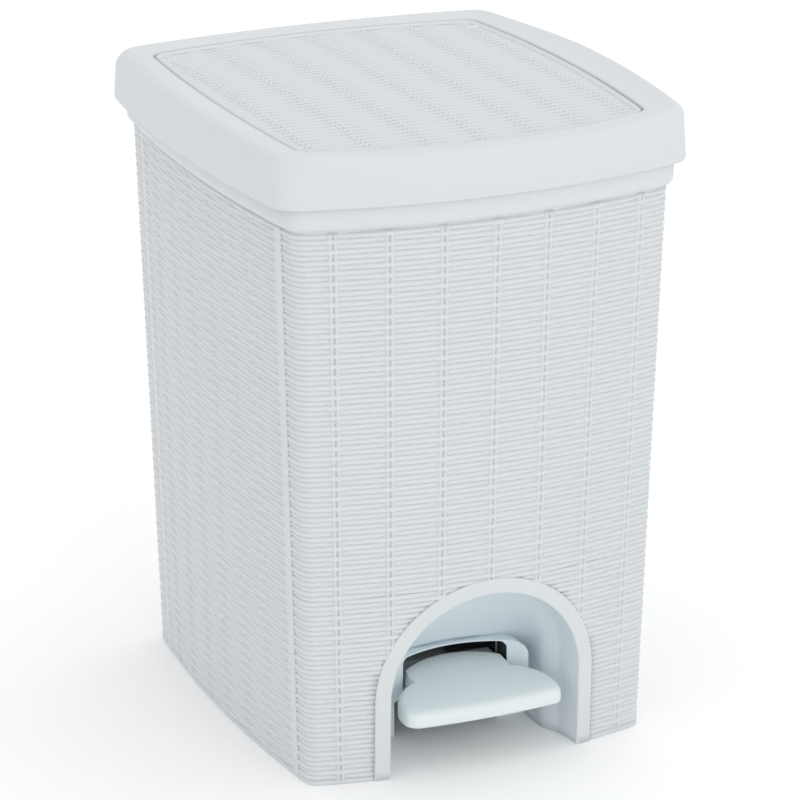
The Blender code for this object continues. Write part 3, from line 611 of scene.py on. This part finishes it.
def slot_surround():
    """The raised frame round the slot, bowed forwards at its ends and rounded at its upper corners."""
    low, shoulder, top = SURROUND_HEIGHTS
    stations = []
    steps = 28
    for step in range(-steps, steps + 1):
        x = SURROUND_HALF_WIDTH * step / steps
        front = SURROUND_Y - SURROUND_CURVE + math.sqrt(SURROUND_CURVE ** 2 - x * x)
        rounding = max(abs(step) / steps - 0.75, 0) / 0.25
        height = shoulder + (top - shoulder) * math.sqrt(1 - rounding ** 2)
        rear = NICHE_REAR_Y + 0.0008
        corners = ((front, low), (front, height), (rear, height), (rear, low))
        stations.append([Vector((x, y, z)) for y, z in corners])
    return loft(stations)


def build_niche_rear(look, painted_shade_look):
    """The niche's rear wall with the pedal's slot, and the raised frame round the slot, both in the niche's
    lighter white (painted light); the frame's faces inside the slot are near black (painted shade).
    """
    # the rear wall and the slot's frame take the niche's lighter white: painted light
    plate = flat_plate(arch(*niche_values(1, 0.0006)), NICHE_REAR_Y, NICHE_REAR_Y + 0.0020)
    wall = piece("niche_rear_wall", plate, look, "body")
    surround = piece("slot_surround", slot_surround(), look, "body")
    for item in (wall, surround):
        cut(item, flat_plate(slot_outline(), -0.0800, -0.0500))
    soften(surround, 0.0005, 3, angle=40)
    surround.data.set_sharp_from_angle(angle=math.radians(50))
    # the frame's faces inside the slot take the near-black material: painted shade
    surround.data.materials.append(painted_shade_look)
    for face in surround.data.polygons:
        towards_slot = face.center.x * face.normal.x < 0 and abs(face.normal.x) > 0.9
        if towards_slot and abs(face.center.x) < SLOT_HALF_WIDTH + 0.0001:
            face.material_index = 1


# --- smooth band and body core ---------------------------------------------------------------
def build_band(look):
    """The smooth band over the weave, which swells out in a cove and carries the cap."""
    weave_top = body_outline(WEAVE_TOP_Z)
    band = outline(BAND_HALF[0], -BAND_HALF[1], BAND_HALF[1], BAND_CORNER)
    rings = [ring(offset(weave_top, -WALL), WEAVE_TOP_Z - 0.0020)]
    rings += [ring(offset(weave_top, -0.0016), WEAVE_TOP_Z - 0.0020)]
    rings += [ring(offset(weave_top, -0.0008), WEAVE_TOP_Z - 0.0001)]
    cove = ((0.10, 0.0000), (0.45, 0.0004), (0.72, 0.0011), (0.90, 0.0022), (1.0, BAND_Z - WEAVE_TOP_Z))
    for share, rise in cove:
        rings.append(ring(mix(weave_top, band, share), WEAVE_TOP_Z + rise))
    rings += [ring(band, 0.2600), ring(band, BODY_TOP_Z - 0.0006), ring(offset(band, -0.0006), BODY_TOP_Z)]
    rings += [ring(offset(band, -WALL), BODY_TOP_Z), ring(offset(band, -WALL), BAND_Z)]
    return piece("body_band", loft(rings, closed=True), look, "body")


def niche_room(grow):
    """The niche as a closed cutter, grown by a distance."""
    rings = []
    overshoot = 0.0300
    for step in range(-1, 13):
        depth = max(step, 0) / 12
        y = NICHE_MOUTH_Y + (NICHE_REAR_Y + grow - NICHE_MOUTH_Y) * depth
        if step < 0:
            y -= overshoot
        points = arch(*niche_values(depth, grow), leg_steps=2, arc_steps=20, low=-0.0100)
        rings.append([Vector((x, y, z)) for x, z in points])
    return loft(rings)


def build_core(look, painted_shade_look):
    """The deck, lugs, bosses and the inner side of the walls, from the CAD body without its skin; below the
    deck a near-black copy, painted shade.
    """
    mesh = frame["nodes"]["outer_body"].data.copy()
    mesh.name = "body_core"
    core = piece("body_core", mesh, look, "body", smooth=None)
    keep = [ring(offset(body_outline(z), -SKIN - 0.00005), z) for z in (-0.0010, WEAVE_TOP_Z - 0.0021)]
    cut(core, loft(keep), "INTERSECT")
    cut(core, niche_room(WALL + 0.0001))
    core.data.set_sharp_from_angle(angle=math.radians(35))
    # below the deck the core takes the near-black material: painted shade for the unlit cavity
    base = piece("body_base", core.data.copy(), painted_shade_look, "body", smooth=None)
    cut(core, block((-0.1100, -0.1200, DECK_SPLIT_Z), (0.1100, 0.1200, 0.3000)), "INTERSECT")
    cut(base, block((-0.1100, -0.1200, -0.0100), (0.1100, 0.1200, DECK_SPLIT_Z)), "INTERSECT")


# --- cap -------------------------------------------------------------------------------------
def flap_top(point):
    """The height of the flap's slight long curve."""
    return FLAP_TOP_Z - FLAP_DROP * (point.y - FLAP_TOP_Y) ** 2


def crest(point):
    """The height of the cap's rim: it stands over the flap at the sides and back, but not in front."""
    rise = CREST_Z - CREST_DROP * (point.y - CREST_Y) ** 2 - flap_top(point)
    in_front = eased((-0.0700 - point.y) / 0.0200) * (1 - eased((abs(point.x) - 0.0500) / 0.0360))
    return flap_top(point) + rise * (1 - 0.9 * in_front)


def shoulder_radius(point):
    """The cap's edge is rounder at the back than in front."""
    front, back = SHOULDER_RADIUS
    return front + (back - front) * eased(point.y / 0.0850)


def flap_outline():
    """The flap's outer edge in plan."""
    return outline(FLAP_HALF_WIDTH, FLAP_FRONT_Y, FLAP_BACK_Y, FLAP_CORNER, FLAP_BOWS)


def build_cap(look):
    """The lift-off frame: a flange round the flap, a raised rim, a round shoulder and a skirt."""
    seam = offset(flap_outline(), SEAM_GAP)
    flange = offset(seam, FLANGE_THICKNESS)
    rim = outline(CAP_TOP_HALF[0], -CAP_TOP_HALF[1], CAP_TOP_HALF[1], CAP_TOP_CORNER)
    skirt = outline(CAP_SKIRT_HALF[0], -CAP_SKIRT_HALF[1], CAP_SKIRT_HALF[1], CAP_SKIRT_CORNER)
    shoulder = offset(rim, lambda point: -shoulder_radius(point))

    def inner(drop):
        return lambda point: flap_top(point) - drop

    rings = [ring(seam, inner(FLANGE_DEPTH)), ring(seam, inner(0.0010))]
    rings += [ring(offset(seam, 0.00025), inner(0.0003)), ring(offset(seam, 0.0008), flap_top)]
    for step in range(1, 9):
        rise = (step / 8) ** 1.3
        slope = mix(flange, shoulder, step / 8)
        rings.append(ring(slope, lambda point: flap_top(point) * (1 - rise) + crest(point) * rise))
    for turn in range(10, 91, 10):
        in_share = 1 - math.sin(math.radians(turn))
        down_share = 1 - math.cos(math.radians(turn))
        out = offset(rim, lambda point: -shoulder_radius(point) * in_share)
        rings.append(ring(out, lambda point: crest(point) - shoulder_radius(point) * down_share))
    rings += [ring(skirt, SKIRT_Z + 0.0014), ring(offset(skirt, -0.0003), SKIRT_Z + 0.0004)]
    rings += [ring(offset(skirt, -0.0010), SKIRT_Z), ring(offset(skirt, -WALL), SKIRT_Z)]
    rings.append(ring(offset(rim, -WALL), lambda point: crest(point) - shoulder_radius(point)))
    rings.append(ring(shoulder, lambda point: crest(point) - WALL))
    rings += [ring(flange, inner(WALL)), ring(flange, inner(FLANGE_DEPTH))]
    cap = piece("cap", loft(rings, closed=True), look, "frame", smooth=50)
    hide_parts("top_frame")


# --- flap ------------------------------------------------------------------------------------
def bead_top(drop):
    """A height function: the flap's top surface, lowered by a drop."""
    return lambda point: flap_top(point) - FLAP_SINK - drop


def build_flap(look):
    """The hinged flap: a rim with a raised bead, the woven panel inside it and the fittings below."""
    edge = flap_outline()
    bead = [(-0.0027, 0.0010), (-0.0023, 0.0006), (-0.0018, 0.0001), (-0.0012, -0.0001), (-0.0006, 0.0001)]
    bead += [(-0.0002, 0.0005), (0.0, 0.0012), (0.0, FLAP_RIM)]
    rings = [ring(offset(edge, out), bead_top(drop)) for out, drop in bead]
    rings += [ring(offset(edge, -FLANGE_THICKNESS), bead_top(FLAP_RIM))]
    rings += [ring(offset(edge, out), bead_top(PANEL_FLOOR)) for out in (-0.0019, -0.0027)]
    rim = piece("flap_rim", loft(rings, closed=True), look, "flap")
    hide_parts("lid_flap")
    build_flap_weave(look)
    build_flap_fittings(look)


def build_flap_weave(look):
    """The woven panel inside the flap's bead: strands run across, ribs from front to back."""
    reach = FLAP_HALF_WIDTH + 0.0010
    places, phase, distance = weave_zone(FRONT_RIBS, -reach, reach)
    front, back = FLAP_FRONT_Y - 0.0006, FLAP_BACK_Y + 0.0006
    strands = int((back - front) / STRAND_PITCH) + 1
    downs = [(strand + share) * STRAND_PITCH for strand in range(strands) for share in ROW_PHASES]

    def row(y, heights):
        return np.column_stack([places, np.full(len(places), y), heights])

    top = []
    for down in downs:
        spine = flap_top(Vector((0, back - down))) - FLAP_SINK - PANEL_SINK
        top.append(row(back - down, spine + weave_height(phase, distance, down, strands)))
    under = np.full(len(places), FLAP_TOP_Z - 0.0060)
    mesh = slab("flap_weave", top, row(back - downs[0], under), row(back - downs[-1], under))
    panel = piece("flap_weave", mesh, look, "flap", smooth=None)
    inset = offset(flap_outline(), -PANEL_INSET)
    cut(panel, loft([ring(inset, bead_top(drop)) for drop in (PANEL_FLOOR, -0.0030)]), "INTERSECT")
    panel.data.set_sharp_from_angle(angle=math.radians(75))


def block(low, high):
    """A bmesh box between two corners."""
    corners = [(low[0], low[1]), (high[0], low[1]), (high[0], high[1]), (low[0], high[1])]
    return loft([ring([Vector(corner) for corner in corners], z) for z in (low[2], high[2])])


def rod_between(start, end, radius, steps=32):
    """A bmesh cylinder along X between two points."""
    circle = arc(Vector((start[1], start[2])), radius, 0.0, 2 * math.pi, steps)[:-1]
    return loft([[Vector((x, point.x, point.y)) for point in circle] for x in (start[0], end[0])])


def build_flap_fittings(look):
    """The lug that the rod head lifts, and the bosses that hold the hinge pins."""
    tip_y, tip_z = LUG_TIP
    half_width, half_depth = LUG_HALF
    low = (-half_width, tip_y - half_depth, tip_z)
    high = (half_width, tip_y + half_depth, HINGE_Z + 0.0022)
    lug = piece("lift_lug", block(low, high), look, "flap")
    reach = half_width + 0.0002
    tip = rod_between((-reach, tip_y, tip_z), (reach, tip_y, tip_z), LUG_TIP_RADIUS)
    cut(lug, tip, "UNION")
    soften(lug, 0.0003)

    def on_hinge(start, end, radius):
        return rod_between((start, HINGE_Y, HINGE_Z), (end, HINGE_Y, HINGE_Z), radius)

    near, far = HINGE_BOSS_X
    for name, side in (("left", -1), ("right", 1)):
        shape = on_hinge(side * near, side * far, HINGE_BOSS_RADIUS)
        boss = piece("hinge_boss_" + name, shape, look, "flap")
        cut(boss, on_hinge(side * (near + 0.0020), side * 0.0850, HINGE_BORE_RADIUS))


# --- pedal -----------------------------------------------------------------------------------
def tread_top(point):
    """The height of the pedal's top, which falls evenly from the neck's crest to the toe."""
    return TREAD_TOP_Z - TREAD_FALL * (NECK_CREST_Y - point.y) / (NECK_CREST_Y - TREAD_FRONT_Y)


def tread_plan(inset):
    """The tread's outline in plan, drawn in by an inset; its rear corners are broad and round."""
    front = TREAD_FRONT_Y + inset * 1.3
    rear = TREAD_REAR_Y - inset * 0.2
    front_corner, rear_corner = TREAD_CORNERS
    corners = (front_corner, min(rear_corner, rear - front - 0.0080))
    return outline(TREAD_HALF_WIDTH - inset, front, rear, corners, TREAD_BOWS)


def build_tread(look):
    """The tread: a thick plate with round edges and an evenly falling top."""
    rings = []
    for inset, rise in ((0.0010, 0), (0.0005, 0.0001), (0.0001, 0.0004), (0, 0.0009)):
        rings.append(ring(tread_plan(inset), TREAD_LOW_Z + rise))
    top_edge = [(0, 0.0034), (0.0001, 0.0026), (0.0004, 0.0017), (0.0009, 0.0009)]
    top_edge += [(0.0016, 0.0004), (0.0025, 0.0001), (0.0036, 0), (0.0055, 0), (0.0075, 0), (0.0095, 0)]
    for inset, drop in top_edge:
        rings.append(ring(tread_plan(inset), lambda point: tread_top(point) - drop))
    tread = piece("pedal_tread", loft(rings), look, "pedal")
    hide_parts("pedal_lever")


def build_neck(look):
    """The neck from the tread into the slot, with the pad that carries the tread's top over it."""
    low_z, high_z = NECK_HEIGHTS
    profile = [(NECK_FRONT_Y, low_z), (NECK_END_Y, low_z), (NECK_END_Y, high_z), (NECK_FRONT_Y, high_z)]
    stations = [[Vector((x, y, z)) for y, z in profile] for x in (-NECK_HALF_WIDTH, NECK_HALF_WIDTH)]
    neck = piece("pedal_neck", loft(stations), look, "pedal")
    pad = []
    bows = (0.300, NECK_CREST_CURVE, 0.600)
    for low, inset in ((0.0055, 0), (0.0012, 0), (0.0006, 0.0002), (0.0002, 0.0006), (0, 0.0012)):
        half_width = NECK_HALF_WIDTH - 0.0004 - inset * 0.6
        edge = outline(half_width, PAD_FRONT_Y, NECK_CREST_Y - inset, 0.0015, bows)
        pad.append(ring(edge, lambda point: tread_top(point) - PAD_SINK - low))
    cut(neck, loft(pad), "UNION")
    soften(neck, 0.0003)


def build_arm(look):
    """The lever's hidden arm behind the neck, in its CAD shape."""
    lever = frame["nodes"]["pedal_lever"]
    mesh = lever.data.copy()
    mesh.name = "pedal_arm"
    mesh.transform(lever.matrix_world)
    arm = piece("pedal_arm", mesh, look, "pedal", smooth=None)
    cut(arm, block((-0.0500, NECK_END_Y - 0.0001, 0.0), (0.0500, 0.1300, 0.0600)), "INTERSECT")
    arm.data.set_sharp_from_angle(angle=math.radians(35))


# --- materials -------------------------------------------------------------------------------
def surface(name, colour, roughness, tone, grain, bump, metallic=0.0):
    """A moulded or plated surface: faint tone and gloss variation, and a fine bump."""
    look = bpy.data.materials.new(name)
    look.use_nodes = True
    nodes, links = look.node_tree.nodes, look.node_tree.links
    shader = nodes["Principled BSDF"]
    shader.inputs["Metallic"].default_value = metallic
    place = nodes.new("ShaderNodeTexCoord")
    broad = nodes.new("ShaderNodeTexNoise")
    broad.inputs["Scale"].default_value = 14.0
    broad.inputs["Detail"].default_value = 3.0
    fine = nodes.new("ShaderNodeTexNoise")
    fine.inputs["Scale"].default_value = grain
    fine.inputs["Detail"].default_value = 4.0
    shades = nodes.new("ShaderNodeMix")
    shades.data_type = "RGBA"
    shades.inputs[6].default_value = (*(c * (1 - tone) for c in colour), 1)
    shades.inputs[7].default_value = (*(min(c * (1 + tone), 1.0) for c in colour), 1)
    gloss = nodes.new("ShaderNodeMapRange")
    gloss.inputs["To Min"].default_value = roughness - 0.05
    gloss.inputs["To Max"].default_value = roughness + 0.05
    relief = nodes.new("ShaderNodeBump")
    relief.inputs["Strength"].default_value = bump
    relief.inputs["Distance"].default_value = 0.00005
    links.new(place.outputs["Object"], broad.inputs["Vector"])
    links.new(place.outputs["Object"], fine.inputs["Vector"])
    links.new(broad.outputs["Fac"], shades.inputs[0])
    links.new(shades.outputs[2], shader.inputs["Base Color"])
    links.new(fine.outputs["Fac"], gloss.inputs["Value"])
    links.new(gloss.outputs["Result"], shader.inputs["Roughness"])
    links.new(fine.outputs["Fac"], relief.inputs["Height"])
    links.new(relief.outputs["Normal"], shader.inputs["Normal"])
    return look


def materials():
    """The finished materials, by slot name; the niche has a lighter copy of the white, painted light against
    its shade, the pedal's white is lightened too, and the cavity under the deck and inside the slot is near
    black, painted shade.
    """
    return {
        "white_plastic": surface("white_plastic", (0.618, 0.648, 0.668), 0.46, 0.012, 900.0, 0.25),
        # painted light: the niche's white is a lighter, bluer copy of the body's white, standing in for light
        # against the shade inside the niche
        "niche": surface("white_plastic_niche_painted_light", (0.720, 0.790, 0.830), 0.46, 0.012, 900.0, 0.25),
        # painted shade: a near-black copy of the white, put on the cavity under the deck and the slot's inner
        # faces where there is only shade
        "painted_shade": surface("white_plastic_painted_shade", (0.032, 0.034, 0.036), 0.80, 0.05, 400.0, 0.20),
        # partly painted light: the pedal's own white, set lighter than the body's to offset the shade that
        # falls on it in the niche
        "pedal_plastic": surface("pedal_plastic", (0.700, 0.762, 0.766), 0.42, 0.012, 700.0, 0.25),
        "bucket_plastic": surface("bucket_plastic", (0.42, 0.45, 0.48), 0.50, 0.03, 500.0, 0.35),
        "grip_plastic": surface("grip_plastic", (0.76, 0.78, 0.79), 0.45, 0.015, 700.0, 0.25),
        "nylon": surface("nylon", (0.70, 0.69, 0.63), 0.50, 0.03, 600.0, 0.30),
        "zinc_steel": surface("zinc_steel", (0.62, 0.62, 0.63), 0.30, 0.06, 420.0, 0.30, 1.0),
    }


def finish_cad_nodes(looks):
    """The mechanism, bucket and bail keep their CAD shapes and take the finished materials."""
    for part in frame["record"]["subparts"]:
        node = frame["nodes"][part["node"]]
        for material_slot in node.material_slots:
            material_slot.material = looks[part["material_slot"]]


def build_weave(look):
    """The woven skin of the four walls, with the niche's arch cut from the front."""
    upper = woven_panel("weave_front_upper", "front", look, 0, FRONT_SPLIT)
    lower = woven_panel("weave_front_lower", "front", look, FRONT_SPLIT, STRANDS)
    hole = BAND_WIDTH - 0.0002
    values = (NICHE_HALF_WIDTH + hole, NICHE_APEX_Z + hole, NICHE_HALF_WIDTH + hole)
    edge = arch(*values, leg_steps=2, arc_steps=64, low=-0.0100)
    cut(lower, loft([[Vector((x, y, z)) for x, z in edge] for y in (-0.1200, -0.0700)]))
    woven_panel("weave_back_upper", "back", look, 0, FRONT_SPLIT)
    woven_panel("weave_back_lower", "back", look, FRONT_SPLIT, STRANDS)
    woven_panel("weave_left", "left", look)
    woven_panel("weave_right", "right", look)
    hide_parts("outer_body")


def main():
    """Builds every piece of the bin."""
    looks = materials()
    white = looks["white_plastic"]
    build_weave(white)
    build_niche(white, looks["niche"])
    build_niche_rear(looks["niche"], looks["painted_shade"])
    build_band(white)
    build_core(white, looks["painted_shade"])
    build_cap(white)
    build_flap(white)
    build_tread(looks["pedal_plastic"])
    build_neck(looks["pedal_plastic"])
    build_arm(looks["pedal_plastic"])
    finish_cad_nodes(looks)


def stage():
    """A plain pale floor, an even white surround and two soft lights."""
    shape = bmesh.new()
    corners = [shape.verts.new((x, y, 0)) for x, y in ((-6, -6), (6, -6), (6, 6), (-6, 6))]
    shape.faces.new(corners)
    mesh = bpy.data.meshes.new("floor")
    shape.to_mesh(mesh)
    shape.free()
    pale = bpy.data.materials.new("floor")
    pale.use_nodes = True
    shader = pale.node_tree.nodes["Principled BSDF"]
    shader.inputs["Base Color"].default_value = (0.98, 0.98, 0.98, 1)
    shader.inputs["Roughness"].default_value = 0.8
    mesh.materials.append(pale)
    floor = bpy.data.objects.new("floor", mesh)
    bpy.context.scene.collection.objects.link(floor)
    world = bpy.data.worlds.new("studio")
    bpy.context.scene.world = world
    world.use_nodes = True
    sky = world.node_tree.nodes["Background"]
    sky.inputs["Color"].default_value = (1, 1, 1, 1)
    sky.inputs["Strength"].default_value = 1.0
    for name, place, size, power in LIGHTS:
        data = bpy.data.lights.new(name, "AREA")
        data.size = size
        data.energy = power
        lamp = bpy.data.objects.new(name, data)
        lamp.location = place
        lamp.rotation_euler = (Vector((0, 0, 0.12)) - Vector(place)).to_track_quat("-Z", "Y").to_euler()
        bpy.context.scene.collection.objects.link(lamp)


def camera():
    """The photo's view: from the front left, from above, with a long lens."""
    data = bpy.data.cameras.new("camera")
    data.lens = 178.4
    data.sensor_width = 36.0
    data.shift_x = -0.0068
    item = bpy.data.objects.new("camera", data)
    item.location = (-0.6716, -1.5160, 0.7258)
    item.rotation_euler = (math.pi / 2 - 0.342, 0, -0.420)
    data.clip_end = 30
    bpy.context.scene.collection.objects.link(item)
    bpy.context.scene.camera = item
    bpy.context.scene.view_settings.view_transform = "Standard"


main()
stage()
camera()
bpy.context.view_layer.update()
